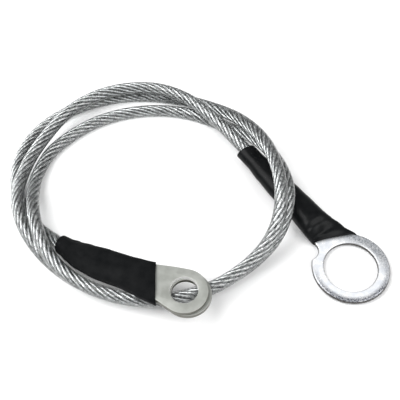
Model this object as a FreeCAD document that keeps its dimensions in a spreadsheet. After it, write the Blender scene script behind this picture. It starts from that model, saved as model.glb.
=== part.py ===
import FreeCAD, Part
import math
import os

# Coiled wire rope lanyard: a plastic-coated wire rope lies in a loose coil of almost three turns,
# with a pressed steel eye on each end and a shrunk black sleeve over each crimp.
# Millimetres.  The coil lies on the plane Z = 0; the origin is under the middle of the whole object.

# ---------------------------------------------------------------- driving dimensions
SIZES = [
    ("wire_diameter", 4.76, "bare wire rope"),
    ("coat_diameter", 6.35, "wire rope with its clear coat"),
    ("coil_depth", 132.7, "front to back over the coil of rope"),
    ("crimp_hold", 11.0, "length of bare wire rope held in a barrel"),
    ("small_hole", 12.7, "hole of the small eye"),
    ("small_ring", 21.8, "outside of the small eye"),
    ("small_plate", 4.7, "thickness of the small eye, which is folded double"),
    ("small_reach", 24.3, "small eye's middle to the end of the wire rope"),
    ("small_drop", 1.45, "small plate's middle below the wire rope"),
    ("small_neck", 18.4, "neck of the small eye at its root"),
    ("small_neck_end", 11.2, "neck of the small eye under its barrel"),
    ("small_barrel_width", 11.2, "outside of the small barrel across"),
    ("small_barrel_height", 7.8, "outside of the small barrel upright"),
    ("large_hole", 25.4, "hole of the large eye"),
    ("large_ring", 37.0, "outside of the large eye"),
    ("large_plate", 2.3, "thickness of the large eye"),
    ("large_reach", 30.0, "large eye's middle to the end of the wire rope"),
    ("large_drop", 4.1, "large plate's middle below the wire rope"),
    ("large_neck", 17.0, "neck of the large eye at its root"),
    ("large_neck_end", 6.6, "neck of the large eye under its barrel"),
    ("large_barrel_width", 11.0, "outside of the large barrel across"),
    ("large_barrel_height", 8.4, "outside of the large barrel upright"),
    ("barrel_back", 2.0, "barrel wall behind the end of the wire rope"),
    ("neck_under_barrel", 4.0, "neck plate that runs on under the barrel"),
    ("cutter_spare", 2.0, "how far a hole's cutter stands past the metal"),
    ("small_sleeve_width", 18.4, "small sleeve where it meets the eye"),
    ("small_sleeve_body", 15.4, "small sleeve over the barrel, across"),
    ("small_sleeve_height", 9.4, "small sleeve over the barrel, upright"),
    ("large_sleeve_width", 18.6, "large sleeve where it meets the eye"),
    ("large_sleeve_body", 14.6, "large sleeve over the barrel, across"),
    ("large_sleeve_height", 10.0, "large sleeve over the barrel, upright"),
    ("sleeve_tail", 8.4, "either sleeve where the rope comes out"),
    ("sleeve_tail_flat", 0.02, "how much wider than tall a sleeve's tail is"),
]

# The rope's route at the coil depth given above, from the small eye round to the large eye.
# First the small eye's end and the first lap, then the second lap, then the third.
ROUTE = [
    (-26.5, -50.9, 17.2), (-46.0, -44.1, 17.2), (-62.0, -30.4, 8.0), (-77.5, -17.4, 3.2),
    (-88.0, -0.4, 3.2), (-91.0, 21.1, 3.2), (-82.5, 42.6, 3.2), (-62.5, 59.1, 3.2),
    (-36.5, 66.6, 3.2), (-9.5, 64.6, 3.2), (12.0, 54.8, 6.2), (27.0, 39.6, 14.0),
    (37.5, 18.6, 22.0), (42.5, -6.9, 25.2), (40.0, -26.9, 18.0), (28.0, -41.9, 10.8),
    (5.5, -56.9, 9.8), (-20.5, -61.4, 9.7), (-47.0, -54.9, 9.7), (-66.5, -40.4, 11.6),
    (-76.0, -18.9, 14.6), (-80.0, 6.1, 5.5), (-73.0, 30.1, 3.2), (-53.5, 48.1, 3.2),
    (-28.5, 56.1, 3.2), (-3.5, 54.6, 3.2), (17.0, 44.8, 3.2), (34.2, 31.6, 9.4),
    (43.5, 10.1, 16.8), (47.0, -8.9, 18.5), (41.5, -26.4, 9.0), (26.0, -40.4, 3.2),
    (5.5, -52.9, 3.2), (-20.5, -58.4, 3.2), (-46.5, -51.9, 3.2), (-66.5, -39.4, 4.2),
    (-80.0, -24.4, 9.7), (-87.0, -4.9, 10.4), (-84.5, 16.1, 8.2), (-78.0, 31.1, 9.0),
    (-66.5, 50.1, 10.0), (-47.5, 63.6, 10.0), (-23.5, 67.1, 10.0), (-4.5, 59.6, 10.6),
    (11.5, 44.1, 10.6), (27.5, 25.6, 7.1), (43.0, 6.1, 6.2), (57.6, -14.9, 6.2),
]
ROUTE_DEPTH = 132.7

doc = FreeCAD.newDocument("coiled_wire_rope")
sheet = doc.addObject("Spreadsheet::Sheet", "Sizes")
sheet.Label = "Sizes"
for line, (alias, value, words) in enumerate(SIZES, start=1):
    sheet.set("A%d" % line, words)
    sheet.set("B%d" % line, str(value))
    sheet.setAlias("B%d" % line, alias)
doc.recompute()


def size(alias):
    """A driving dimension as the sheet holds it."""
    return float(sheet.get(alias))


def bind(thing, **formulas):
    """Ties an object's sizes to the sheet."""
    for prop, formula in formulas.items():
        thing.setExpression(prop, formula)


# ---------------------------------------------------------------- the rope's path
plan_scale = size("coil_depth") / ROUTE_DEPTH
points = [FreeCAD.Vector(x * plan_scale, y * plan_scale, z) for x, y, z in ROUTE]


def path_edges(corners, trim):
    """Straight runs joined by tangent arcs; trim shortens both ends."""
    edges = []
    radii = []
    here = corners[0] + (corners[1] - corners[0]).normalize() * trim
    for before, corner, after in zip(corners, corners[1:], corners[2:]):
        back = before - corner
        ahead = after - corner
        cut = 0.45 * min(back.Length, ahead.Length)
        back.normalize()
        ahead.normalize()
        turn = math.pi - back.getAngle(ahead)
        radius = cut / math.tan(turn / 2.0)
        radii.append(radius)
        start = corner + back * cut
        end = corner + ahead * cut
        inward = (back + ahead).normalize()
        middle = corner + inward * (radius / math.cos(turn / 2.0) - radius)
        edges.append(Part.LineSegment(here, start).toShape())
        edges.append(Part.Arc(start, middle, end).toShape())
        here = end
    last = corners[-1] + (corners[-2] - corners[-1]).normalize() * trim
    edges.append(Part.LineSegment(here, last).toShape())
    return edges, radii


full_edges, bend_radii = path_edges(points, 0.0)
short_edges, _ = path_edges(points, size("crimp_hold"))

wire_path = doc.addObject("Part::Feature", "wire_path")
wire_path.Label = "wire path"
wire_path.Shape = Part.Wire(full_edges)
coat_path = doc.addObject("Part::Feature", "coat_path")
coat_path.Label = "coat path"
coat_path.Shape = Part.Wire(short_edges)


def square_to(point, tangent):
    """A placement at point whose Z runs along tangent and whose X is level."""
    level = FreeCAD.Vector(0, 0, 1).cross(tangent).normalize()
    upright = tangent.cross(level)
    return FreeCAD.Placement(point, FreeCAD.Rotation(level, upright, tangent, "ZXY"))


def along(corners, edges, distance):
    """Point and direction on the path, counted from its first corner; less than 0 is before it."""
    tangent = (corners[1] - corners[0]).normalize()
    if distance <= edges[0].Length:
        return corners[0] + tangent * distance, tangent
    left = distance
    for edge in edges:
        if left <= edge.Length:
            at = edge.getParameterByLength(left)
            return edge.valueAt(at), edge.tangentAt(at)
        left -= edge.Length
    raise ValueError("the path is shorter than that")


def tube(name, label, path, diameter_alias):
    """A plain round tube swept along a path."""
    profile = doc.addObject("Part::Circle", name + "_profile")
    bind(profile, Radius="Sizes.%s / 2" % diameter_alias)
    first = path.Shape.OrderedEdges[0]
    profile.Placement = square_to(first.valueAt(first.FirstParameter), first.tangentAt(first.FirstParameter))
    swept = doc.addObject("Part::Sweep", name)
    swept.Label = label
    swept.Sections = [profile]
    swept.Spine = (path, ["Edge%d" % k for k in range(1, len(path.Shape.Edges) + 1)])
    swept.Solid = True
    swept.Frenet = False
    return swept


wire_rope = tube("wire_rope", "wire_rope", wire_path, "wire_diameter")
coat_solid = tube("coat_solid", "coat solid", coat_path, "coat_diameter")
rope_jacket = doc.addObject("Part::Cut", "rope_jacket")
rope_jacket.Label = "rope_jacket"
rope_jacket.Base = coat_solid
rope_jacket.Tool = wire_rope
doc.recompute()


# ---------------------------------------------------------------- the pressed eyes
def terminal(which, corners):
    """An eye with its neck and barrel; +X runs from the eye's middle to the rope."""
    def named(word):
        return "Sizes.%s_%s" % (which, word)

    ring = doc.addObject("Part::Cylinder", which + "_ring")
    bind(ring, Radius=named("ring") + " / 2", Height=named("plate"))
    bind(ring, **{"Placement.Base.z": "-%s / 2" % named("plate")})

    neck = doc.addObject("Part::Wedge", which + "_neck_plate")
    neck.Placement = FreeCAD.Placement(FreeCAD.Vector(0, 0, 0), FreeCAD.Rotation(FreeCAD.Vector(0, 0, 1), -90))
    neck.Ymin = 0
    bind(neck, Ymax=named("reach") + " + Sizes.neck_under_barrel")
    bind(neck, Xmin="-%s / 2" % named("neck"), Xmax=named("neck") + " / 2")
    bind(neck, X2min="-%s / 2" % named("neck_end"), X2max=named("neck_end") + " / 2")
    bind(neck, Zmin="-%s / 2" % named("plate"), Zmax=named("plate") + " / 2")
    bind(neck, Z2min="-%s / 2" % named("plate"), Z2max=named("plate") + " / 2")

    section = doc.addObject("Part::Ellipse", which + "_barrel_section")
    bind(section, MajorRadius=named("barrel_width") + " / 2", MinorRadius=named("barrel_height") + " / 2")
    turned = FreeCAD.Rotation(FreeCAD.Vector(0, 1, 0), FreeCAD.Vector(0, 0, 1), FreeCAD.Vector(1, 0, 0), "ZXY")
    section.Placement = FreeCAD.Placement(FreeCAD.Vector(0, 0, 0), turned)
    bind(section, **{"Placement.Base.x": "%s - Sizes.barrel_back" % named("reach")})
    bind(section, **{"Placement.Base.z": named("drop")})
    barrel = doc.addObject("Part::Extrusion", which + "_barrel")
    barrel.Base = section
    barrel.DirMode = "Custom"
    barrel.Dir = FreeCAD.Vector(1, 0, 0)
    barrel.Solid = True
    bind(barrel, LengthFwd="Sizes.crimp_hold + Sizes.barrel_back")

    blank = doc.addObject("Part::MultiFuse", which + "_blank")
    blank.Shapes = [ring, neck, barrel]
    blank.Refine = True

    hole = doc.addObject("Part::Cylinder", which + "_eye_hole")
    bind(hole, Radius=named("hole") + " / 2", Height=named("plate") + " + 2 * Sizes.cutter_spare")
    bind(hole, **{"Placement.Base.z": "-%s / 2 - Sizes.cutter_spare" % named("plate")})
    bore = doc.addObject("Part::Cylinder", which + "_bore")
    bore.Placement = FreeCAD.Placement(FreeCAD.Vector(0, 0, 0), FreeCAD.Rotation(FreeCAD.Vector(0, 1, 0), 90))
    bind(bore, Radius="Sizes.wire_diameter / 2", Height="Sizes.crimp_hold + Sizes.cutter_spare")
    bind(bore, **{"Placement.Base.x": named("reach"), "Placement.Base.z": named("drop")})
    voids = doc.addObject("Part::MultiFuse", which + "_voids")
    voids.Shapes = [hole, bore]

    finished = doc.addObject("Part::Cut", which + "_eye_terminal")
    finished.Label = which + "_eye_terminal"
    finished.Base = blank
    finished.Tool = voids
    outward = (corners[1] - corners[0]).normalize()
    centre = corners[0] - outward * size(which + "_reach") - FreeCAD.Vector(0, 0, size(which + "_drop"))
    heading = math.degrees(math.atan2(outward.y, outward.x))
    finished.Placement = FreeCAD.Placement(centre, FreeCAD.Rotation(FreeCAD.Vector(0, 0, 1), heading))
    return finished, centre


small_terminal, small_centre = terminal("small", points)
large_terminal, large_centre = terminal("large", points[::-1])
doc.recompute()


# ---------------------------------------------------------------- the shrunk sleeves
def sleeve(which, corners, edges, stations, inside):
    """A loft of ovals along the rope's end, with everything it is shrunk on cut away.

    Each station is: distance from the wire rope's end, drop below it, full width, full height.
    """
    ovals = []
    for number, (distance, drop, width, height) in enumerate(stations, start=1):
        oval = doc.addObject("Part::Ellipse", "%s_oval_%d" % (which, number))
        bind(oval, MajorRadius="(%s) / 2" % width, MinorRadius="(%s) / 2" % height)
        point, tangent = along(corners, edges, distance)
        oval.Placement = square_to(point - FreeCAD.Vector(0, 0, drop), tangent)
        ovals.append(oval)
    skin = doc.addObject("Part::Loft", which + "_sleeve_skin")
    skin.Sections = ovals
    skin.Solid = True
    skin.Ruled = False
    held = doc.addObject("Part::MultiFuse", which + "_held")
    held.Shapes = inside
    finished = doc.addObject("Part::Cut", which + "_eye_sleeve")
    finished.Label = which + "_eye_sleeve"
    finished.Base = skin
    finished.Tool = held
    return finished


SMALL = "Sizes.small_sleeve_"
LARGE = "Sizes.large_sleeve_"
TAIL = "Sizes.sleeve_tail"
TAIL_WIDTH = "Sizes.sleeve_tail + Sizes.sleeve_tail_flat"
small_stations = [
    (-10.4, 1.6, SMALL + "width", SMALL + "height * 0.96"),
    (-6.4, 1.3, SMALL + "width * 0.97", SMALL + "height"),
    (4.0, 0.5, SMALL + "body * 1.01", SMALL + "height * 1.12"),
    (15.0, 0.0, SMALL + "body * 0.99", SMALL + "height"),
    (25.0, 0.0, SMALL + "body * 0.88", SMALL + "height * 0.96"),
    (35.5, 0.0, SMALL + "body * 0.70", SMALL + "height * 0.90"),
    (42.0, 0.0, TAIL_WIDTH, TAIL),
]
large_stations = [
    (-13.5, 3.4, LARGE + "width", LARGE + "height * 0.50"),
    (-7.0, 2.0, LARGE + "width * 0.90", LARGE + "height * 0.79"),
    (0.5, 0.5, LARGE + "body", LARGE + "height * 1.10"),
    (6.0, 0.2, LARGE + "body * 0.97", LARGE + "height * 1.04"),
    (15.5, 0.0, LARGE + "body * 0.86", LARGE + "height"),
    (33.5, 0.0, LARGE + "body * 0.68", LARGE + "height * 0.90"),
    (50.0, 0.0, TAIL_WIDTH, TAIL),
]
back_edges, _ = path_edges(points[::-1], 0.0)
small_sleeve = sleeve("small", points, full_edges, small_stations, [small_terminal, wire_rope, coat_solid])
large_sleeve = sleeve("large", points[::-1], back_edges, large_stations, [large_terminal, wire_rope, coat_solid])
doc.recompute()

# ---------------------------------------------------------------- checks, then the files
PARTS = [wire_rope, rope_jacket, small_terminal, large_terminal, small_sleeve, large_sleeve]
for thing in doc.Objects:
    if "Invalid" in thing.State or "Error" in thing.State:
        raise RuntimeError("%s did not build: %s" % (thing.Label, thing.State))
for part in PARTS:
    if part.Shape.isNull() or not part.Shape.isValid() or len(part.Shape.Solids) != 1:
        raise RuntimeError("%s is not one valid solid" % part.Label)

print("bend radii, smallest %.1f, largest %.1f mm" % (min(bend_radii), max(bend_radii)))
print("all bend radii: " + " ".join("%.0f" % radius for radius in bend_radii))
for part, path, outer, inner in (
    (wire_rope, wire_path, "wire_diameter", None),
    (rope_jacket, coat_path, "coat_diameter", "wire_diameter"),
):
    area = math.pi / 4.0 * size(outer) ** 2
    if inner:
        area -= math.pi / 4.0 * size(inner) ** 2
    wanted = area * path.Shape.Length
    print("%s: length %.1f mm, volume %.1f, section times length %.1f mm3"
          % (part.Label, path.Shape.Length, part.Shape.Volume, wanted))
whole = FreeCAD.BoundBox()
for part in PARTS:
    box = part.Shape.BoundBox
    whole.add(box)
    print("%s: volume %.1f mm3, z %.2f to %.2f" % (part.Label, part.Shape.Volume, box.ZMin, box.ZMax))
print("small eye middle (%.4f, %.4f, %.4f)" % tuple(small_centre))
print("large eye middle (%.4f, %.4f, %.4f)" % tuple(large_centre))
print("whole: x %.2f %.2f, y %.2f %.2f, z %.2f %.2f mm"
      % (whole.XMin, whole.XMax, whole.YMin, whole.YMax, whole.ZMin, whole.ZMax))

os.makedirs("parts", exist_ok=True)
for part in PARTS:
    part.Shape.exportStep("parts/%s.step" % part.Label)
print("wrote %d parts" % len(PARTS))
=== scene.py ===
# %% [markdown]
# # A coiled wire rope lanyard
# A clear-coated wire rope lies in a loose coil of almost three turns. Each end carries a pressed
# steel eye, and a black sleeve is shrunk over each crimp. Nothing on it is hinged or slides, so all
# its pieces ride on one body. The first cell loads the CAD model, and the cells after it put a
# finished piece in the place of each plain CAD solid.

# %% Load the CAD model
import math

import bpy
import numpy as np
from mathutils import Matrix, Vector


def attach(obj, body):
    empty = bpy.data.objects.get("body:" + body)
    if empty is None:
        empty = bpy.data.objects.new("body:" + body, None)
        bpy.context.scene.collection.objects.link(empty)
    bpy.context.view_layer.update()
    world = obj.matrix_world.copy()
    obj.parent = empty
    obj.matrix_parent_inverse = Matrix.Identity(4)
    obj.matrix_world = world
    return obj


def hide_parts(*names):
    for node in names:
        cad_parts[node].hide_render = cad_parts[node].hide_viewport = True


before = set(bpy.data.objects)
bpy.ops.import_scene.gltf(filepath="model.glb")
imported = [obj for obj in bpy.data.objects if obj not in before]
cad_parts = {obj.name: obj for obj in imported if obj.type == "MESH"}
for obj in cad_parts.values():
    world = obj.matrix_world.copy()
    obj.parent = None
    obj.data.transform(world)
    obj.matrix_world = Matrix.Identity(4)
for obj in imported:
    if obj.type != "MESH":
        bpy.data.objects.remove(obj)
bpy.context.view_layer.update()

MM = 0.001
body = "root"


def in_mm(values):
    """Metres as rounded millimetres, for printing."""
    return [round(value / MM, 1) for value in values]


# %% [markdown]
# ## Camera
# The coil is low and wide, and what matters is which lap lies on which. A wide lens close by would
# swell the nearest lap, and a view from straight above would flatten the crossings. So a short
# telephoto stands about twice the coil's width away and looks down from the front, a little over
# half way up.

# %% The camera
LOOK_AT = Vector((3.5, 0.1, 0.0)) * MM
CAMERA_DISTANCE = 378.0 * MM
CAMERA_ELEVATION = math.radians(57.0)
SENSOR_WIDTH = 36.0
LENS_LENGTH = 67.5
NEAREST_SEEN = 0.01

camera_data = bpy.data.cameras.new("camera")
camera_data.sensor_width = SENSOR_WIDTH
camera_data.lens = LENS_LENGTH
camera_data.clip_start = NEAREST_SEEN
camera = bpy.data.objects.new("camera", camera_data)
bpy.context.scene.collection.objects.link(camera)
camera_side = Vector((0.0, -math.cos(CAMERA_ELEVATION), math.sin(CAMERA_ELEVATION)))
camera.location = LOOK_AT + CAMERA_DISTANCE * camera_side
camera.rotation_euler = (math.pi / 2 - CAMERA_ELEVATION, 0.0, 0.0)
bpy.context.scene.camera = camera
print("camera stands at", in_mm(camera.location), "mm")

# %% [markdown]
# ## The rope's route
# The real rope was wound by hand and let go, so its laps wander and lie across each other. A helix
# worked out by a loop would look machine-made, and a physics run wouldn't stop in a chosen order.
# So the route is a list of points in millimetres. It began as a curve fitted to where the laps lie, and
# its points were then rounded and moved until the laps cleared each other. It starts in the small eye's
# barrel, runs under the second and third laps, and ends in the large eye's barrel.
# The points are the CAD model's own, except on the second lap's left side: there one point is added
# and the two beside it are moved by under 1 mm, which rounds that bend.

# %% The route's points
ROUTE = [
    (-26.5, -50.9, 17.2), (-46.0, -44.1, 17.2), (-62.0, -30.4, 8.0), (-77.5, -17.4, 3.2),
    (-88.0, -0.4, 3.2), (-91.0, 21.1, 3.2), (-82.5, 42.6, 3.2), (-62.5, 59.1, 3.2),
    (-36.5, 66.6, 3.2), (-9.5, 64.6, 3.2), (12.0, 54.8, 6.2), (27.0, 39.6, 14.0),
    (37.5, 18.6, 22.0), (42.5, -6.9, 25.2), (40.0, -26.9, 18.0), (28.0, -41.9, 10.8),
    (5.5, -56.9, 9.8), (-20.5, -61.4, 9.7), (-47.0, -54.9, 9.7), (-66.5, -40.4, 11.6),
    (-76.0, -18.9, 14.6), (-80.1, 5.4, 5.6), (-77.8, 18.3, 3.8), (-72.9, 30.6, 3.2),
    (-53.5, 48.1, 3.2), (-28.5, 56.1, 3.2), (-3.5, 54.6, 3.2), (17.0, 44.8, 3.2),
    (34.2, 31.6, 9.4), (43.5, 10.1, 16.8), (47.0, -8.9, 18.5), (41.5, -26.4, 9.0),
    (26.0, -40.4, 3.2), (5.5, -52.9, 3.2), (-20.5, -58.4, 3.2), (-46.5, -51.9, 3.2),
    (-66.5, -39.4, 4.2), (-80.0, -24.4, 9.7), (-87.0, -4.9, 10.4), (-84.5, 16.1, 8.2),
    (-78.0, 31.1, 9.0), (-66.5, 50.1, 10.0), (-47.5, 63.6, 10.0), (-23.5, 67.1, 10.0),
    (-4.5, 59.6, 10.6), (11.5, 44.1, 10.6), (27.5, 25.6, 7.1), (43.0, 6.1, 6.2),
    (57.6, -14.9, 6.2),
]
route = [Vector(point) * MM for point in ROUTE]
print("the route has", len(route), "points")

# %% [markdown]
# ## One smooth line
# A stiff rope bends evenly and never in corners. Straight runs with rounded corners would show as
# bent wire, so the points become the controls of one open NURBS spline, which eases past each of
# them. Everything that follows the rope reads its places from this spline's own mesh.

# %% The spline and the line along its middle
SPLINE_ORDER = 3
STEPS_BETWEEN_POINTS = 24
BEVEL_STEPS = 7


def spline_object(name, points, thickness):
    """One open NURBS spline through the air, round if it has a thickness."""
    data = bpy.data.curves.new(name, "CURVE")
    data.dimensions = "3D"
    spline = data.splines.new("NURBS")
    spline.points.add(len(points) - 1)
    for control, point in zip(spline.points, points):
        control.co = (*point, 1.0)
    spline.order_u = SPLINE_ORDER
    spline.use_endpoint_u = True
    spline.use_smooth = True
    spline.resolution_u = STEPS_BETWEEN_POINTS
    data.bevel_depth = thickness / 2.0
    data.bevel_resolution = BEVEL_STEPS
    data.use_fill_caps = True
    thing = bpy.data.objects.new(name, data)
    bpy.context.scene.collection.objects.link(thing)
    return thing


guide = spline_object("guide", route, 0.0)
scene_as_drawn = bpy.context.evaluated_depsgraph_get()
guide_mesh = bpy.data.meshes.new_from_object(guide.evaluated_get(scene_as_drawn))
line = np.array([vertex.co[:] for vertex in guide_mesh.vertices])
bpy.data.objects.remove(guide)
bpy.data.meshes.remove(guide_mesh)
print("the line along the rope's middle has", len(line), "points")

# %% [markdown]
# ## Clear coat
# The coat is clear soft plastic, 0.8 mm thick, drawn over the whole rope and cut back where a barrel
# grips the bare wire. It could be a tube with an inner wall, but the strands fill it, so that wall
# would never be seen. A bevelled spline keeps it one true curve, with one length and one diameter.

# %% The coat
COAT_DIAMETER = 6.35 * MM
CRIMP_HOLD = 11.0 * MM

start_trim = route[0] + (route[1] - route[0]).normalized() * CRIMP_HOLD
end_trim = route[-1] + (route[-2] - route[-1]).normalized() * CRIMP_HOLD
rope_coat = spline_object("rope_coat", [start_trim] + route[1:-1] + [end_trim], COAT_DIAMETER)
print("the coat leaves the small eye's barrel at", in_mm(start_trim), "mm")

# %% [markdown]
# ## Walking along the rope
# Strands and sleeves need places at equal distances along the rope, and the strands need two
# directions across it at each place. Directions taken afresh from the world's up would add a little
# twist wherever the rope climbs and turns at once. Here they are carried from one place to the next
# and only squared up, so the strands' lay stays even.

# %% Even places and carried directions
RING_STEP = 0.6 * MM


def evenly(points, step):
    """Points at equal distances along a line, with their distances."""
    gaps = np.linalg.norm(np.diff(points, axis=0), axis=1)
    travelled = np.concatenate([[0.0], np.cumsum(gaps)])
    distances = np.linspace(0.0, travelled[-1], int(travelled[-1] / step) + 1)
    placed = np.stack([np.interp(distances, travelled, points[:, k]) for k in range(3)], axis=1)
    return distances, placed


def unit(vectors):
    """The same directions, each with a length of 1."""
    return vectors / np.linalg.norm(vectors, axis=-1, keepdims=True)


def carried_frames(points):
    """Directions across the line that turn with it but never spin about it."""
    tangents = unit(np.gradient(points, axis=0))
    sides = np.zeros_like(points)
    side = np.cross(tangents[0], (0.0, 0.0, 1.0))
    for number, tangent in enumerate(tangents):
        side = side - tangent * np.dot(side, tangent)
        side = side / np.linalg.norm(side)
        sides[number] = side
    return sides, np.cross(tangents, sides)


distances, middle = evenly(line, RING_STEP)
across, over = carried_frames(middle)
print("the wire rope is", round(distances[-1] / MM), "mm long, in", len(middle), "places")

# %% [markdown]
# ## A skin through rings
# The strands and the sleeves are long shapes whose section turns or changes all the way. A curve's
# bevel keeps one section, and a primitive would have to be extruded and turned thousands of times.
# A skin through rings of points gives every place its own section, and two flat caps close it.

# %% The skin
def tube_mesh(name, rings):
    """A closed mesh through rings of points."""
    count, around = rings.shape[0], rings.shape[1]
    starts = np.arange(count - 1)[:, None] * around
    first = starts + np.arange(around)[None, :]
    second = starts + (np.arange(around)[None, :] + 1) % around
    quads = np.stack([first, second, second + around, first + around], axis=-1)
    faces = quads.reshape(-1, 4).tolist()
    faces.append(list(range(around))[::-1])
    faces.append([(count - 1) * around + k for k in range(around)])
    mesh = bpy.data.meshes.new(name)
    mesh.from_pydata(rings.reshape(-1, 3).tolist(), [], faces)
    mesh.shade_smooth()
    thing = bpy.data.objects.new(name, mesh)
    bpy.context.scene.collection.objects.link(thing)
    return thing


def ring_points(centres, sideways, upwards, turn, reach):
    """A ring of points about each centre, at the given angles and reach."""
    return (centres[:, None, :]
            + sideways[:, None, :] * (np.cos(turn) * reach)[:, :, None]
            + upwards[:, None, :] * (np.sin(turn) * reach)[:, :, None])


print("each strand's skin will have", len(middle), "rings")

# %% [markdown]
# ## Strands
# The rope is taken to be the usual kind for its size: six strands laid right-handed round a core,
# each of nineteen wires that lie the other way. With six strands, their spacing along the rope
# gives the lay length. Wires modelled one by one would take over a million faces, which the coat
# blurs, and a bump pattern would leave the strands' outline plain. So each strand is one piece
# whose section has twelve small lobes, one for each outer wire, and the lobes twist as the wires do.
# Three strands lie side by side across the rope, so a strand's radius is a sixth of its diameter.

# %% The six strands
WIRE_DIAMETER = 4.76 * MM
STRAND_RADIUS = WIRE_DIAMETER / 6.0
STRAND_COUNT = 6
LAY_LENGTH = 29.0 * MM
OUTER_WIRES = 12
WIRE_LAY = 9.0 * MM
VALLEY = 0.80

strand_turn = 2.0 * math.pi * distances / LAY_LENGTH
wire_turn = 2.0 * math.pi * distances / WIRE_LAY


def strand(name, start_angle):
    """One strand laid round the rope's middle, with its outer wires as lobes."""
    angle = strand_turn + start_angle
    outward = np.cos(angle)[:, None] * across + np.sin(angle)[:, None] * over
    centres = middle + outward * 2.0 * STRAND_RADIUS
    along = unit(np.gradient(centres, axis=0))
    outward = unit(outward - along * np.sum(outward * along, axis=1, keepdims=True))
    lobes = np.arange(2 * OUTER_WIRES)
    reach = np.where(lobes % 2 == 0, 1.0, VALLEY) * STRAND_RADIUS
    turn = lobes[None, :] * (2.0 * math.pi / len(lobes)) - wire_turn[:, None]
    rings = ring_points(centres, outward, np.cross(along, outward), turn, reach)
    return tube_mesh(name, rings)


strands = [strand("wire_strand_%d" % (number + 1), 2.0 * math.pi * number / STRAND_COUNT)
           for number in range(STRAND_COUNT)]
print(len(strands), "strands of", len(strands[0].data.polygons), "faces each")

# %% [markdown]
# ## Core strand
# The seventh strand runs down the middle of the other six. It could be lobed like them, but only a
# dark line of it shows between them, so it is a plain round bar with half as many rings.

# %% The core
CORE_SIDES = 12
CORE_KEEPS_ONE_RING_IN = 2

core_turn = np.arange(CORE_SIDES)[None, :] * (2.0 * math.pi / CORE_SIDES) + strand_turn[:, None]
core_rings = ring_points(middle, across, over, core_turn, STRAND_RADIUS)
wire_core = tube_mesh("wire_core", core_rings[::CORE_KEEPS_ONE_RING_IN])
print("the core has", len(wire_core.data.polygons), "faces")

# %% [markdown]
# ## Drawing a pressed plate
# Each real eye is stamped from steel sheet, which leaves a flat face, one round hole and a rim
# that is rounded all the way. A cut between solids would leave a ragged mesh round the hole. A flat
# filled curve keeps the arcs round, takes its thickness by extrusion, and its bevel rounds the rim
# and the hole's edge alike. The curve becomes a mesh, and its doubled points are merged.

# %% Closed lines on a flat curve
HOLE_POINTS = 96


def circle_points(radius):
    """Points of a round hole about the middle."""
    angles = [2 * math.pi * k / HOLE_POINTS for k in range(HOLE_POINTS)]
    return [(radius * math.cos(angle), radius * math.sin(angle)) for angle in angles]


def add_closed_line(data, points):
    """Adds one closed line to a flat curve, from points in millimetres."""
    spline = data.splines.new("POLY")
    spline.points.add(len(points) - 1)
    for control, (x, y) in zip(spline.points, points):
        control.co = (x * MM, y * MM, 0.0, 1.0)
    spline.use_cyclic_u = True


print("a hole is drawn with", HOLE_POINTS, "points")

# %% The plate made from an outline
RIM_STEPS = 4
SAME_PLACE = 0.005 * MM
SHARP_EDGE = math.radians(35.0)


def only(thing):
    """Selects one object and makes it active."""
    bpy.ops.object.select_all(action="DESELECT")
    thing.select_set(True)
    bpy.context.view_layer.objects.active = thing


def pressed_plate(name, outline, hole_radius, thickness, rounding):
    """A flat plate from a smooth outline, in millimetres, with one round hole."""
    data = bpy.data.curves.new(name, "CURVE")
    data.dimensions = "2D"
    data.fill_mode = "BOTH"
    add_closed_line(data, outline)
    add_closed_line(data, circle_points(hole_radius))
    data.offset = -rounding * MM
    data.extrude = (thickness / 2.0 - rounding) * MM
    data.bevel_depth = rounding * MM
    data.bevel_resolution = RIM_STEPS
    plate = bpy.data.objects.new(name, data)
    bpy.context.scene.collection.objects.link(plate)
    only(plate)
    bpy.ops.object.convert(target="MESH")
    bpy.ops.object.mode_set(mode="EDIT")
    bpy.ops.mesh.select_all(action="SELECT")
    bpy.ops.mesh.remove_doubles(threshold=SAME_PLACE)
    bpy.ops.mesh.normals_make_consistent(inside=False)
    bpy.ops.object.mode_set(mode="OBJECT")
    bpy.ops.object.shade_smooth_by_angle(angle=SHARP_EDGE)
    return bpy.context.view_layer.objects.active


print("a rim is rounded in", RIM_STEPS, "steps")

# %% [markdown]
# ## The crimped barrel
# The plate's tail is rolled round the bare rope end and pressed to an oval, and the sleeve hides
# nearly all of it. A swept sheet would be truer and never seen, so a cylinder is squashed to the
# oval in edit mode and its two edges are bevelled.

# %% The barrel
BARREL_SIDES = 48
BARREL_EDGE = 0.5 * MM
BARREL_EDGE_STEPS = 3


def barrel(name, start, length, width, height, lift):
    """An oval barrel along X from start, lifted off the plate's middle, in millimetres."""
    bpy.ops.object.select_all(action="DESELECT")
    bpy.ops.mesh.primitive_cylinder_add(vertices=BARREL_SIDES, radius=0.5, depth=1.0)
    thing = bpy.context.view_layer.objects.active
    thing.name = name
    bpy.ops.object.mode_set(mode="EDIT")
    bpy.ops.mesh.select_all(action="SELECT")
    bpy.ops.transform.resize(value=(height * MM, width * MM, length * MM))
    bpy.ops.object.mode_set(mode="OBJECT")
    thing.rotation_euler = (0.0, math.pi / 2.0, 0.0)
    thing.location = ((start + length / 2.0) * MM, 0.0, lift * MM)
    bpy.ops.object.transform_apply(location=True, rotation=True, scale=True)
    modifier = thing.modifiers.new("edge", "BEVEL")
    modifier.width = BARREL_EDGE
    modifier.segments = BARREL_EDGE_STEPS
    bpy.ops.object.modifier_apply(modifier="edge")
    return thing


print("a barrel starts as a cylinder with", BARREL_SIDES, "sides")

# %% [markdown]
# ## Laying an eye on its rope
# An eye is drawn flat, with its hole at the origin and its tail along +X, because that is easy to
# check. Then its plates and barrel are joined, and it is turned to lie along the rope's end.

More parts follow.
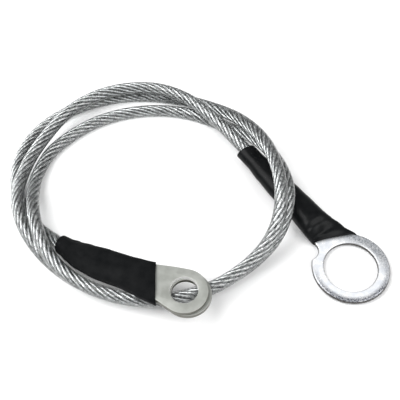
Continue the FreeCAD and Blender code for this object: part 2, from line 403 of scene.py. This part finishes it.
# %% Joining and placing
def joined(main, other, name):
    """Joins two meshes into one piece."""
    only(main)
    other.select_set(True)
    bpy.ops.object.join()
    main.name = name
    main.data.name = name
    return main


def eye_place(end, next_point, reach, drop):
    """The hole's middle, beyond the rope's end and below it, and the direction into the rope."""
    into_rope = (next_point - end).normalized()
    return end - into_rope * reach * MM - Vector((0.0, 0.0, drop * MM)), into_rope


def lay_on_rope(thing, centre, into_rope):
    """Turns a drawing along the rope's end, with its hole's middle at the centre."""
    thing.location = centre
    thing.rotation_euler = (0.0, 0.0, math.atan2(into_rope.y, into_rope.x))
    only(thing)
    bpy.ops.object.transform_apply(location=True, rotation=True, scale=True)


SMALL_REACH = 24.3
SMALL_DROP = 1.45
LARGE_REACH = 30.0
LARGE_DROP = 4.1
small_centre, into_small_end = eye_place(route[0], route[1], SMALL_REACH, SMALL_DROP)
large_centre, into_large_end = eye_place(route[-1], route[-2], LARGE_REACH, LARGE_DROP)
print("hole middles in mm:", in_mm(small_centre), in_mm(large_centre))

# %% [markdown]
# ## Small eye
# This eye is a strip folded double, and the two layers never meet quite edge to edge: the rim and
# the hole both show a step. One thick plate would lose the step, so two plates of half the
# thickness are drawn from one outline, the lower one a little further out, and joined.

# %% The small eye's two outlines
def arc(cx, cy, radius, start, end, count):
    """Points on an arc, angles in degrees."""
    return [(cx + radius * math.cos(math.radians(start + (end - start) * k / count)),
             cy + radius * math.sin(math.radians(start + (end - start) * k / count)))
            for k in range(count + 1)]


FOLD_OUT, FOLD_ASIDE = -0.9, -0.2
small_outline = arc(-0.1, 0.3, 10.9, 76.0, 279.0, 80) + [
    (7.9, -9.6), (14.4, -8.3), (20.4, -7.1), (26.4, -5.5),
    (26.4, 5.5), (20.4, 6.8), (14.4, 7.9), (8.9, 8.9)]
fold_outline = [(x + FOLD_OUT, y + FOLD_ASIDE) for x, y in small_outline]
print("the small eye is drawn with", len(small_outline), "points")

# %% The small eye
SMALL_HOLE_RADIUS = 6.35
SMALL_THICKNESS = 4.7
SMALL_ROUNDING = 0.3
FOLD_HOLE_OUT = -0.6
LAYER_LIFT = SMALL_THICKNESS / 4.0
SMALL_BARREL_OVERLAP = 2.0
SMALL_BARREL_SIZE = (13.0, 11.2, 7.8)


def layer(name, outline, shift, lift):
    """One of the two layers, at half the thickness, moved to its place."""
    plate = pressed_plate(name, outline, SMALL_HOLE_RADIUS, SMALL_THICKNESS / 2.0, SMALL_ROUNDING)
    only(plate)
    bpy.ops.transform.translate(value=(shift * MM, 0.0, lift * MM))
    bpy.ops.object.transform_apply(location=True, rotation=True, scale=True)
    return plate


small_eye = layer("small_eye", small_outline, 0.0, LAYER_LIFT)
small_fold = layer("small_fold", fold_outline, FOLD_HOLE_OUT, -LAYER_LIFT)
small_eye = joined(small_eye, small_fold, "small_eye")
small_barrel = barrel("small_barrel", SMALL_REACH - SMALL_BARREL_OVERLAP, *SMALL_BARREL_SIZE, SMALL_DROP)
small_eye = joined(small_eye, small_barrel, "small_eye")
lay_on_rope(small_eye, small_centre, into_small_end)
print("small eye:", len(small_eye.data.polygons), "faces, hole", 2.0 * SMALL_HOLE_RADIUS, "mm")

# %% [markdown]
# ## Large eye
# This one is a single thin plate with a hole twice as wide and a heavily rounded rim. It narrows to
# a neck where it goes into its sleeve, not in the same way on both sides. A disc joined to a strip
# would meet it in corners, so the outline is one long arc for the ring, a few points for the neck,
# and a short hollow arc that leads back into the ring.

# %% The large eye
LARGE_HOLE_RADIUS = 12.7
LARGE_THICKNESS = 2.3
LARGE_ROUNDING = 1.0
LARGE_BARREL_OVERLAP = 1.0
LARGE_BARREL_SIZE = (12.0, 11.0, 8.0)

large_ring = arc(0.0, 0.0, 18.5, 43.0, 308.0, 110)
large_neck = [
    (15.5, -11.6), (19.5, -8.8), (24.0, -6.2), (30.0, -4.0), (34.0, -3.3),
    (34.0, 3.3), (30.0, 4.0), (24.0, 5.5)]
neck_hollow = arc(18.6, 10.9, 4.9, 268.0, 184.0, 14)
large_outline = large_ring + large_neck + neck_hollow
large_eye = pressed_plate("large_eye", large_outline, LARGE_HOLE_RADIUS, LARGE_THICKNESS, LARGE_ROUNDING)
large_barrel = barrel("large_barrel", LARGE_REACH - LARGE_BARREL_OVERLAP, *LARGE_BARREL_SIZE, LARGE_DROP)
large_eye = joined(large_eye, large_barrel, "large_eye")
lay_on_rope(large_eye, large_centre, into_large_end)
print("large eye:", len(large_eye.data.polygons), "faces, hole", 2.0 * LARGE_HOLE_RADIUS, "mm")

# %% [markdown]
# ## Reading a sleeve's shape
# A shrunk sleeve is heated until it grips what is under it, so it is wide and flat over the
# plate's neck, oval over the barrel and nearly round on the rope. A cylinder with a cast modifier
# would miss those three sections. A short table of stations along the rope's end says them, and
# two small readers give the place and the section at any distance in between.

# %% Readers for a line and for a table
LINE_STEP = 0.25 * MM


def end_line(points):
    """A lookup from distance along the rope's end to a point and a direction."""
    spaced, placed = evenly(points, LINE_STEP)
    first = placed[0]
    first_heading = unit(placed[1] - placed[0])

    def at(distance):
        if distance <= 0.0:
            return first + first_heading * distance, first_heading
        number = min(int(distance / spaced[1]), len(placed) - 3)
        blend = distance / spaced[1] - number
        point = placed[number] * (1 - blend) + placed[number + 1] * blend
        return point, unit(placed[number + 2] - placed[number])

    return at


def eased_table(stations, values):
    """A lookup that reads one column of a table and eases from station to station."""
    def at(distance):
        if distance <= stations[0]:
            return values[0]
        for low, high, before, after in zip(stations, stations[1:], values, values[1:]):
            if distance <= high:
                share = (distance - low) / (high - low)
                share = share * share * (3.0 - 2.0 * share)
                return before + (after - before) * share
        return values[-1]

    return at


print("sleeves read the line every", LINE_STEP / MM, "mm")

# %% [markdown]
# ## Section, mouths and folds
# Three things shape each point of a sleeve. Its section is an oval that can be squared off. Its
# mouths are cut by hand, so they lean. And the film puckers into long soft folds as it shrinks; bump
# in the material wouldn't catch the light at the edge, so the folds are pressed into the shape.

# %% Section, lean and folds
LEAN_RUN = 6.0
MEAN_RADIUS_SHARE = 0.8


def oval(angle, half_width, half_height, squareness):
    """A point on an oval; a squareness of 2 is an ellipse, and more fills its corners."""
    c, s = math.cos(angle), math.sin(angle)
    size = (abs(c) ** squareness + abs(s) ** squareness) ** (-1.0 / squareness)
    return c * size * half_width, s * size * half_height


def mouth_lean(distance, low, high, leans, side):
    """How far a mouth leans along the rope at this side, easing out over LEAN_RUN."""
    if distance < low + LEAN_RUN:
        return leans[0] * side * (1.0 - (distance - low) / LEAN_RUN)
    if distance > high - LEAN_RUN:
        return leans[1] * side * (1.0 - (high - distance) / LEAN_RUN)
    return 0.0


def fold_depth(distance, angle, half_width, folds):
    """How deep the folds press the film in at this place, in millimetres."""
    depth_here = 0.0
    for start, start_angle, end, end_angle, depth, width in folds:
        share = (distance - start) / (end - start)
        held = min(max(share, 0.0), 1.0)
        fold_angle = start_angle + (end_angle - start_angle) * held
        off_angle = (math.degrees(angle) - fold_angle + 180.0) % 360.0 - 180.0
        off_side = math.radians(off_angle) * half_width * MEAN_RADIUS_SHARE
        off_end = (share - held) * abs(end - start)
        depth_here += depth * math.exp(-(off_side ** 2 + off_end ** 2) / (width * width))
    return depth_here


print("a mouth's lean fades out over", LEAN_RUN, "mm")

# %% [markdown]
# ## One sleeve
# The film has a visible thickness at its mouths. A Solidify modifier would give the whole sleeve an
# inner wall that nobody sees, so only the mouths are tucked in: the last rings turn inwards over a
# small rounded lip and run a few millimetres back inside.

# %% The sleeve
RING_SIDES = 96
RING_EVERY = 0.5
FILM = 0.8
LIP = [(1.0, 0.35), (0.6, 0.05), (0.25, 0.08)]
PLATE_TUCK, ROPE_TUCK = 3.0, 2.0
UP = (0.0, 0.0, 1.0)


def sleeve(name, points, stations, folds, leans):
    """stations: distance, drop, shift, half width, half height, squareness, in millimetres.

    folds: start distance, start angle, end distance, end angle, depth, width; angles in degrees,
    0 on the near side and 90 on top. leans: how far each mouth leans over, in millimetres.
    LIP holds shares of the film's thickness and how far along the rope each ring is moved.
    """
    at = end_line(points)
    columns = list(zip(*stations))
    tables = [eased_table(columns[0], column) for column in columns[1:]]
    drop, shift, half_width, half_height, squareness = tables
    low, high = columns[0][0], columns[0][-1]
    angles = np.arange(RING_SIDES) * 2.0 * math.pi / RING_SIDES

    def ring(distance, shrink, moved):
        loop = []
        width, height = half_width(distance), half_height(distance)
        for angle in angles:
            lean = mouth_lean(distance, low, high, leans, math.cos(angle))
            point, heading = at((distance + moved + lean) * MM)
            level = unit(np.cross(UP, heading))
            upright = np.cross(heading, level)
            x, y = oval(angle, width - shrink, height - shrink, squareness(distance))
            pressed = fold_depth(distance, angle, width, folds)
            reach = math.hypot(x, y)
            x, y = x - pressed * x / reach + shift(distance), y - pressed * y / reach
            loop.append(point + level * x * MM + upright * (y - drop(distance)) * MM)
        return loop

    rings = [ring(low, FILM, PLATE_TUCK)]
    rings += [ring(low, FILM * share, moved) for share, moved in LIP]
    rings += [ring(distance, 0.0, 0.0) for distance in np.arange(low, high + 0.001, RING_EVERY)]
    rings += [ring(high, FILM * share, -moved) for share, moved in reversed(LIP)]
    rings += [ring(high, FILM, -ROPE_TUCK)]
    return tube_mesh(name, np.array(rings))


print("a sleeve's rings have", RING_SIDES, "points each")

# %% [markdown]
# ## Small eye's sleeve
# The shorter and duller sleeve. It starts over the folded plate, wide and flat, and closes on the
# coat 42.5 mm along the rope. Its four folds could be drawn as creases in the material, but those at
# the rope's end are deep enough to show in its outline.

# %% The small sleeve
SMALL_STATIONS = [
    (-11.0, 1.1, 0.35, 9.8, 3.3, 3.0), (-7.0, 0.8, 0.3, 9.3, 3.9, 2.8),
    (-2.0, 0.2, 0.1, 8.5, 4.5, 2.5), (4.0, 0.0, 0.0, 7.9, 4.8, 2.4),
    (15.0, 0.0, 0.0, 7.8, 4.8, 2.3), (25.0, 0.0, 0.0, 6.9, 4.6, 2.2),
    (33.0, 0.0, 0.0, 5.8, 4.3, 2.1), (39.0, 0.0, 0.0, 4.8, 4.2, 2.0),
    (42.5, 0.0, 0.0, 4.5, 4.2, 2.0)]
SMALL_FOLDS = [
    (-9.0, 35.0, 6.0, 60.0, 0.35, 1.6), (-4.0, 120.0, 18.0, 100.0, 0.25, 1.8),
    (24.0, 70.0, 41.0, 95.0, 0.45, 1.1), (30.0, 20.0, 41.0, 35.0, 0.35, 1.0)]
SMALL_LEANS = (-3.9, -0.8)

small_sleeve = sleeve("small_sleeve", line, SMALL_STATIONS, SMALL_FOLDS, SMALL_LEANS)
print("small sleeve:", len(small_sleeve.data.polygons), "faces")

# %% [markdown]
# ## Large eye's sleeve
# The longer and glossier sleeve. It slopes down to the thin plate's neck and sits a little to one
# side of the rope. It could be a stretched copy of the small one, but its sections differ at every
# station, so it has a table of its own, read along the same line from the line's other end.

# %% The large sleeve
LARGE_STATIONS = [
    (-14.1, 3.4, -3.6, 10.2, 2.5, 2.8), (-10.0, 2.8, -2.1, 9.1, 3.2, 2.6),
    (-5.0, 1.4, -0.7, 8.2, 4.5, 2.3), (-2.0, 0.8, -0.2, 7.7, 5.1, 2.3),
    (0.5, 0.6, 0.0, 7.5, 5.3, 2.2), (6.0, 0.2, 0.2, 7.2, 5.2, 2.2),
    (15.5, 0.0, 0.6, 6.9, 5.0, 2.2), (24.0, 0.0, 0.9, 6.6, 4.8, 2.1),
    (33.5, 0.0, 0.8, 6.1, 4.5, 2.1), (44.0, 0.0, 0.6, 5.2, 4.3, 2.0),
    (50.5, 0.0, 0.5, 5.1, 4.3, 2.1)]
LARGE_FOLDS = [
    (-12.0, 60.0, -6.0, 100.0, 0.35, 2.2), (12.0, 76.0, 24.0, 84.0, 0.2, 2.6),
    (26.0, 112.0, 46.0, 98.0, 0.35, 1.8)]
LARGE_LEANS = (4.2, 1.0)

large_sleeve = sleeve("large_sleeve", line[::-1], LARGE_STATIONS, LARGE_FOLDS, LARGE_LEANS)
print("large sleeve:", len(large_sleeve.data.polygons), "faces")

# %% [markdown]
# ## A kit for finishes
# Zinc, clear plastic and black film differ in colour, gloss and grain, and each varies over its
# surface. A painted image would need unwrapping and would blur close up. Nodes on object
# coordinates need neither, and their pattern stays on the piece wherever it goes. A finish below is
# one material with its own shader, and small helpers add the nodes it is made of.

# %% A finish
class Finish:
    """One material: link joins two sockets, surface holds the shader's, place is the piece's own."""

    def __init__(self, name, colour, roughness, metallic=0.0):
        self.material = bpy.data.materials.new(name)
        self.material.use_nodes = True
        self.nodes = self.material.node_tree.nodes
        self.link = self.material.node_tree.links.new
        self.surface = self.nodes["Principled BSDF"].inputs
        self.surface["Base Color"].default_value = (*colour, 1.0)
        self.surface["Roughness"].default_value = roughness
        self.surface["Metallic"].default_value = metallic
        self.place = self.nodes.new("ShaderNodeTexCoord").outputs["Object"]


def dress(thing, finish):
    """Gives a piece its one material."""
    thing.data.materials.clear()
    thing.data.materials.append(finish.material)


print("materials before any finish is made:", len(bpy.data.materials))

# %% [markdown]
# Nearly every real surface is uneven in a cloudy way. A checker or a wave repeats and shows it;
# noise doesn't. A ramp then says how much of its range counts and what it turns into.

# %% Noise and ramps
def noise(finish, scale, detail, roughness=0.55):
    """Clouds over the piece: a scale of 1000 has about one to a millimetre."""
    node = finish.nodes.new("ShaderNodeTexNoise")
    node.inputs["Scale"].default_value = scale
    node.inputs["Detail"].default_value = detail
    node.inputs["Roughness"].default_value = roughness
    finish.link(finish.place, node.inputs["Vector"])
    return node.outputs["Fac"]


def ramp(finish, source, between, gives=(0.0, 1.0)):
    """Turns one range of values into another, and holds its ends outside it."""
    node = finish.nodes.new("ShaderNodeMapRange")
    node.inputs["From Min"].default_value = between[0]
    node.inputs["From Max"].default_value = between[1]
    node.inputs["To Min"].default_value = gives[0]
    node.inputs["To Max"].default_value = gives[1]
    finish.link(source, node.inputs["Value"])
    return node.outputs["Result"]


print("a noise of scale 1000 has a cloud every", 1.0 / 1000.0 / MM, "mm")

# %% Blending two colours
MIX_SHARE, MIX_LOW, MIX_HIGH, MIX_RESULT = 0, 6, 7, 2


def blend(finish, share, low, high):
    """A mix of two colours, each a plain colour or another node's output."""
    node = finish.nodes.new("ShaderNodeMix")
    node.data_type = "RGBA"
    finish.link(share, node.inputs[MIX_SHARE])
    for socket, colour in ((MIX_LOW, low), (MIX_HIGH, high)):
        if isinstance(colour, tuple):
            node.inputs[socket].default_value = (*colour, 1.0)
        else:
            finish.link(colour, node.inputs[socket])
    return node.outputs[MIX_RESULT]


print("a colour mix reads sockets", MIX_SHARE, MIX_LOW, MIX_HIGH, "and gives socket", MIX_RESULT)

# %% [markdown]
# ## Galvanised wire
# Zinc on drawn wire is grey and half bright, and dulls in patches about a millimetre long. One flat
# grey metal would look like plastic under the coat. Two noises, one for colour and one for gloss,
# would put shine on dull spots. So one noise drives both, and a dark patch has its own gloss.

# %% The wire's finish
WIRE_DARK = (0.16, 0.165, 0.165)
WIRE_LIGHT = (0.50, 0.51, 0.51)

wire = Finish("galvanised_wire", (0.40, 0.41, 0.41), roughness=0.34, metallic=0.9)
patches = noise(wire, scale=900.0, detail=4.0)
wire_colour = blend(wire, ramp(wire, patches, between=(0.35, 0.65)), WIRE_DARK, WIRE_LIGHT)
wire.link(wire_colour, wire.surface["Base Color"])
wire.link(ramp(wire, patches, between=(0.3, 0.7), gives=(0.28, 0.46)), wire.surface["Roughness"])
for thing in strands + [wire_core]:
    dress(thing, wire)
print("dressed", len(strands) + 1, "pieces in", wire.material.name)

# %% [markdown]
# ## Clear vinyl
# The coat is soft clear vinyl with a slight ripple. Plain glass stops the lamps' direct light, so
# the strands inside it go nearly black, and a faint see-through skin has no depth. So the coat is
# glass to the eye, with an index near vinyl's own, and almost clear to shadow rays, which lets the
# lamps light the strands.

# %% The coat's finish
VINYL_INDEX = 1.42
SHADOW_TINT = (0.93, 0.94, 0.94, 1.0)


def bump(finish, height, strength, distance):
    """Fine relief from a height; the distance is in metres."""
    node = finish.nodes.new("ShaderNodeBump")
    node.inputs["Strength"].default_value = strength
    node.inputs["Distance"].default_value = distance
    finish.link(height, node.inputs["Height"])
    finish.link(node.outputs["Normal"], finish.surface["Normal"])


vinyl = Finish("clear_vinyl", (0.97, 0.98, 0.98), roughness=0.06)
vinyl.surface["Transmission Weight"].default_value = 1.0
vinyl.surface["IOR"].default_value = VINYL_INDEX
ripple = noise(vinyl, scale=260.0, detail=2.0)
bump(vinyl, ripple, strength=0.12, distance=0.2 * MM)
vinyl.link(ramp(vinyl, ripple, between=(0.3, 0.7), gives=(0.03, 0.12)), vinyl.surface["Roughness"])
dress(rope_coat, vinyl)
print("the coat's index is", VINYL_INDEX)

# %% Let shadow rays through the coat
rays = vinyl.nodes.new("ShaderNodeLightPath")
clear = vinyl.nodes.new("ShaderNodeBsdfTransparent")
clear.inputs["Color"].default_value = SHADOW_TINT
either = vinyl.nodes.new("ShaderNodeMixShader")
vinyl.link(rays.outputs["Is Shadow Ray"], either.inputs["Fac"])
vinyl.link(vinyl.nodes["Principled BSDF"].outputs["BSDF"], either.inputs[1])
vinyl.link(clear.outputs["BSDF"], either.inputs[2])
vinyl.link(either.outputs["Shader"], vinyl.nodes["Material Output"].inputs["Surface"])
print("the coat's finish has", len(vinyl.nodes), "nodes")

# %% [markdown]
# ## Telling places apart
# A pressed plate is not one colour here: its faces, its cut edges and some stretches painted lighter or
# darker differ, and some of these are painted shade, highlight or reflection. Faces could be picked out
# and given materials of their own, but the seams would be hard lines. The helpers here give a share from
# 0 to 1 out of the surface's direction or its place, and shares can be multiplied, so every change of
# colour is soft.

# %% Shares from direction and place
def product(finish, first, second):
    """Two shares multiplied."""
    node = finish.nodes.new("ShaderNodeMath")
    node.operation = "MULTIPLY"
    finish.link(first, node.inputs[0])
    finish.link(second, node.inputs[1])
    return node.outputs["Value"]


def height_of(finish, vector):
    """The Z of a place or a direction."""
    parts = finish.nodes.new("ShaderNodeSeparateXYZ")
    finish.link(vector, parts.inputs["Vector"])
    return parts.outputs["Z"]


def facing_up(finish, between):
    """0 on the sides of a plate and 1 on its flat top and underside."""
    geometry = finish.nodes.new("ShaderNodeNewGeometry")
    flat = finish.nodes.new("ShaderNodeMath")
    flat.operation = "ABSOLUTE"
    finish.link(height_of(finish, geometry.outputs["Normal"]), flat.inputs[0])
    return ramp(finish, flat.outputs["Value"], between)


def against(finish, operation, result, source, constant):
    """One vector operation between a place and a constant."""
    node = finish.nodes.new("ShaderNodeVectorMath")
    node.operation = operation
    node.inputs[1].default_value = constant
    finish.link(source, node.inputs[0])
    return node.outputs[result]


print("places are measured from", in_mm(small_centre), "and", in_mm(large_centre), "mm")

# %% [markdown]
# ## Satin zinc on the small eye
# The folded plate is dull grey zinc on its faces and nearly black on its cut edges, partly the steel's
# own duller edge and partly painted shade on the side walls. The upper layer's hole wall is painted near
# white, a painted highlight on its shiny punched wall. The normal tells a face from an edge. The
# distance from the hole's middle and the height then tell the painted bright wall from the dark one,
# which a second material could do only with a hard line.

# %% The small eye's finish
SATIN_DARK, SATIN_LIGHT = (0.31, 0.32, 0.295), (0.38, 0.39, 0.365)
# The near white is a painted highlight on the upper layer's hole wall.
EDGE_STEEL_AND_SHADE, PAINTED_WALL_HIGHLIGHT = (0.12, 0.12, 0.10), (0.95, 0.95, 0.93)
# The cut edges' dark colour is partly the steel's own duller edge and partly painted shade.
HOLE_WALL_ENDS = (7.4 * MM, 8.4 * MM)
LAYER_SEAM = (small_centre.z - 0.3 * MM, small_centre.z + 0.3 * MM)

satin = Finish("satin_zinc", (0.44, 0.45, 0.42), roughness=0.48, metallic=0.35)
mottle = noise(satin, scale=220.0, detail=5.0)
face_colour = blend(satin, ramp(satin, mottle, between=(0.35, 0.65)), SATIN_DARK, SATIN_LIGHT)
from_hole = against(satin, "DISTANCE", "Value", satin.place, small_centre)
near_hole = ramp(satin, from_hole, HOLE_WALL_ENDS, gives=(1.0, 0.0))
upper_layer = ramp(satin, height_of(satin, satin.place), LAYER_SEAM)
# Painted highlight on the upper layer's hole wall, over the dark cut edges.
edge_colour = blend(satin, product(satin, near_hole, upper_layer), EDGE_STEEL_AND_SHADE, PAINTED_WALL_HIGHLIGHT)
satin_colour = blend(satin, facing_up(satin, between=(0.25, 0.9)), edge_colour, face_colour)
satin.link(satin_colour, satin.surface["Base Color"])
bump(satin, noise(satin, scale=2600.0, detail=3.0), strength=0.12, distance=0.05 * MM)
satin.link(ramp(satin, mottle, between=(0.3, 0.7), gives=(0.36, 0.5)), satin.surface["Roughness"])
dress(small_eye, satin)
print("the small eye's finish has", len(satin.nodes), "nodes")

# %% [markdown]
# ## Bright zinc on the large eye
# The large eye is brighter zinc, almost white. It is painted a darker grey towards the upper right and
# has a painted dark reflection along the front stretch of its rim, and fine specks break both. Marks
# drawn one by one would take hundreds of shapes. Each dark stretch is instead a product of three plain
# shares: how far out it is, how far to one side it is, and a fine speckle that breaks its edge.

# %% Where the large eye is painted darker
bright = Finish("bright_zinc", (0.86, 0.88, 0.91), roughness=0.26, metallic=0.3)
from_hole = against(bright, "SUBTRACT", "Vector", bright.place, large_centre)
radius = bright.nodes.new("ShaderNodeVectorMath")
radius.operation = "LENGTH"
bright.link(from_hole, radius.inputs[0])


def out_from_hole(low, high, low_value):
    """Rises to 1 with the distance from the hole's middle, in millimetres."""
    return ramp(bright, radius.outputs["Value"], (low * MM, high * MM), (low_value, 1.0))


def towards(x, y, low, high):
    """Rises from 0 to 1 in one direction, in millimetres from the hole's middle."""
    how_far = against(bright, "DOT_PRODUCT", "Value", from_hole, (x, y, 0.0))
    return ramp(bright, how_far, (low * MM, high * MM))


specks = noise(bright, scale=1500.0, detail=5.0, roughness=0.7)
speckled = ramp(bright, specks, between=(0.36, 0.60), gives=(0.30, 1.0))
# Darker grey towards the upper right of the ring.
darker_upper_right = product(bright, out_from_hole(12.7, 15.0, 0.45), towards(0.66, 0.75, 6.0, 14.5))
# Painted dark reflection on the front stretch of the rim.
painted_reflection_rim = product(bright, out_from_hole(15.4, 17.0, 0.0), towards(0.05, -1.0, -3.0, 12.0))
print("the wear uses", len(bright.nodes), "nodes")

# %% [markdown]
# The colours go on as layers: mottled zinc, the darker grey towards the upper right over it, the painted
# dark reflection on the front of the rim over that, and last the dark cut edge, so that each later one
# hides what is under it.

# %% The large eye's finish
ZINC_GREY, ZINC_WHITE = (0.80, 0.83, 0.88), (0.97, 0.98, 0.99)
# The darker grey towards the upper right.
UPPER_RIGHT_GREY = (0.17, 0.18, 0.195)
# Colour of the painted dark reflection.
PAINTED_DARK_REFLECTION = (0.012, 0.015, 0.035)
CUT_EDGE = (0.045, 0.04, 0.035)

mottle = noise(bright, scale=300.0, detail=6.0)
plate_colour = blend(bright, ramp(bright, mottle, between=(0.38, 0.62)), ZINC_GREY, ZINC_WHITE)
# Lays the darker grey towards the upper right over the zinc.
plate_colour = blend(bright, product(bright, darker_upper_right, speckled), plate_colour, UPPER_RIGHT_GREY)
# Lays the painted dark reflection over the zinc.
plate_colour = blend(bright, product(bright, painted_reflection_rim, speckled), plate_colour, PAINTED_DARK_REFLECTION)
plate_colour = blend(bright, facing_up(bright, between=(0.45, 0.97)), CUT_EDGE, plate_colour)
bright.link(plate_colour, bright.surface["Base Color"])
bump(bright, noise(bright, scale=900.0, detail=3.0), strength=0.25, distance=0.1 * MM)
bright.link(ramp(bright, mottle, between=(0.3, 0.7), gives=(0.14, 0.34)), bright.surface["Roughness"])
dress(large_eye, bright)
print("the large eye's finish has", len(bright.nodes), "nodes")

# %% [markdown]
# ## Black shrunk film
# Both sleeves are black film, with broad soft lumps from what lies under them and a fine grain. The
# small eye's is matt and lumpy, and the large eye's is smooth and glossy. They could be two
# materials built apart, but one function with four values keeps them one family.

# %% The sleeves' finishes
FILM_BLACK, FILM_GREY = (0.004, 0.0045, 0.005), (0.009, 0.0095, 0.010)


def sleeve_finish(name, roughness, soften, gloss, lumps):
    """Black film; lumps says how much the broad relief outweighs the fine grain."""
    film = Finish(name, FILM_BLACK, roughness)
    film.surface["Specular IOR Level"].default_value = gloss
    broad = noise(film, scale=180.0, detail=3.0)
    fine = noise(film, scale=1800.0, detail=4.0)
    colour = blend(film, ramp(film, broad, between=(0.3, 0.7)), FILM_BLACK, FILM_GREY)
    film.link(colour, film.surface["Base Color"])
    uneven = ramp(film, fine, between=(0.3, 0.7), gives=(roughness - soften, roughness + soften))
    film.link(uneven, film.surface["Roughness"])
    relief = film.nodes.new("ShaderNodeMath")
    relief.operation = "MULTIPLY_ADD"
    relief.inputs[1].default_value = lumps
    film.link(broad, relief.inputs[0])
    film.link(fine, relief.inputs[2])
    bump(film, relief.outputs["Value"], strength=0.10, distance=0.08 * MM)
    return film


matt_film = sleeve_finish("matt_black_sleeve", roughness=0.6, soften=0.08, gloss=0.05, lumps=4.0)
glossy_film = sleeve_finish("glossy_black_sleeve", roughness=0.32, soften=0.06, gloss=0.09, lumps=0.8)
dress(small_sleeve, matt_film)
dress(large_sleeve, glossy_film)
print(len(bpy.data.materials), "materials")

# %% [markdown]
# ## Which piece belongs to what
# The eyes are crimped fast and the sleeves are shrunk on, so every piece rides on the one CAD body.
# Each takes the place of its plain CAD node; the seven strands together take the wire rope's.

# %% Bodies and nodes
for thing in strands + [wire_core, rope_coat, small_eye, large_eye, small_sleeve, large_sleeve]:
    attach(thing, body)
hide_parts("wire_rope")
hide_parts("rope_jacket")
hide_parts("small_eye_terminal")
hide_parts("large_eye_terminal")
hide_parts("small_eye_sleeve")
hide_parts("large_eye_sleeve")
print("every piece rides on", body)

# %% [markdown]
# ## Floor
# The coil lies on a plain pale surface. A curved studio backdrop would cast the coil's own curves
# about, so it is one flat sheet, large enough to fill the view, with a trace of paper tooth.

# %% The floor
FLOOR_SIZE = 4.0
FLOOR_COLOUR = (0.93, 0.93, 0.93)

bpy.ops.object.select_all(action="DESELECT")
bpy.ops.mesh.primitive_plane_add(size=FLOOR_SIZE, location=(0.0, 0.0, 0.0))
floor = bpy.context.view_layer.objects.active
floor.name = "floor"
paper = Finish("pale_paper", FLOOR_COLOUR, roughness=0.75)
bump(paper, noise(paper, scale=500.0, detail=3.0), strength=0.03, distance=0.1 * MM)
dress(floor, paper)
print("the floor is", FLOOR_SIZE, "m square")

# %% [markdown]
# ## Light
# Small hard lamps would put sharp white lines on the coat and lose the strands. Two broad soft ones
# are used, a key high on the left and a weaker fill in front on the right, and a faint white world
# keeps the black sleeves from sinking.

# %% The lamps and the world
KEY_POWER, FILL_POWER = 12.5, 6.0
WORLD_STRENGTH = 0.28


def soft_light(name, location, side, power):
    """A square area lamp that points at the middle of the coil."""
    data = bpy.data.lights.new(name, "AREA")
    data.shape = "RECTANGLE"
    data.size = side
    data.size_y = side
    data.energy = power
    lamp = bpy.data.objects.new(name, data)
    bpy.context.scene.collection.objects.link(lamp)
    lamp.location = location
    lamp.rotation_euler = (-Vector(location)).to_track_quat("-Z", "Y").to_euler()


soft_light("key", (-0.55, -0.1, 0.85), 0.8, KEY_POWER)
soft_light("fill", (0.6, -0.3, 0.8), 0.7, FILL_POWER)
world = bpy.data.worlds.new("studio")
bpy.context.scene.world = world
world.use_nodes = True
background = world.node_tree.nodes["Background"].inputs
background["Color"].default_value = (1.0, 1.0, 1.0, 1.0)
background["Strength"].default_value = WORLD_STRENGTH
bpy.context.scene.view_settings.view_transform = "Standard"
print("two lamps of", KEY_POWER, "and", FILL_POWER, "watts")
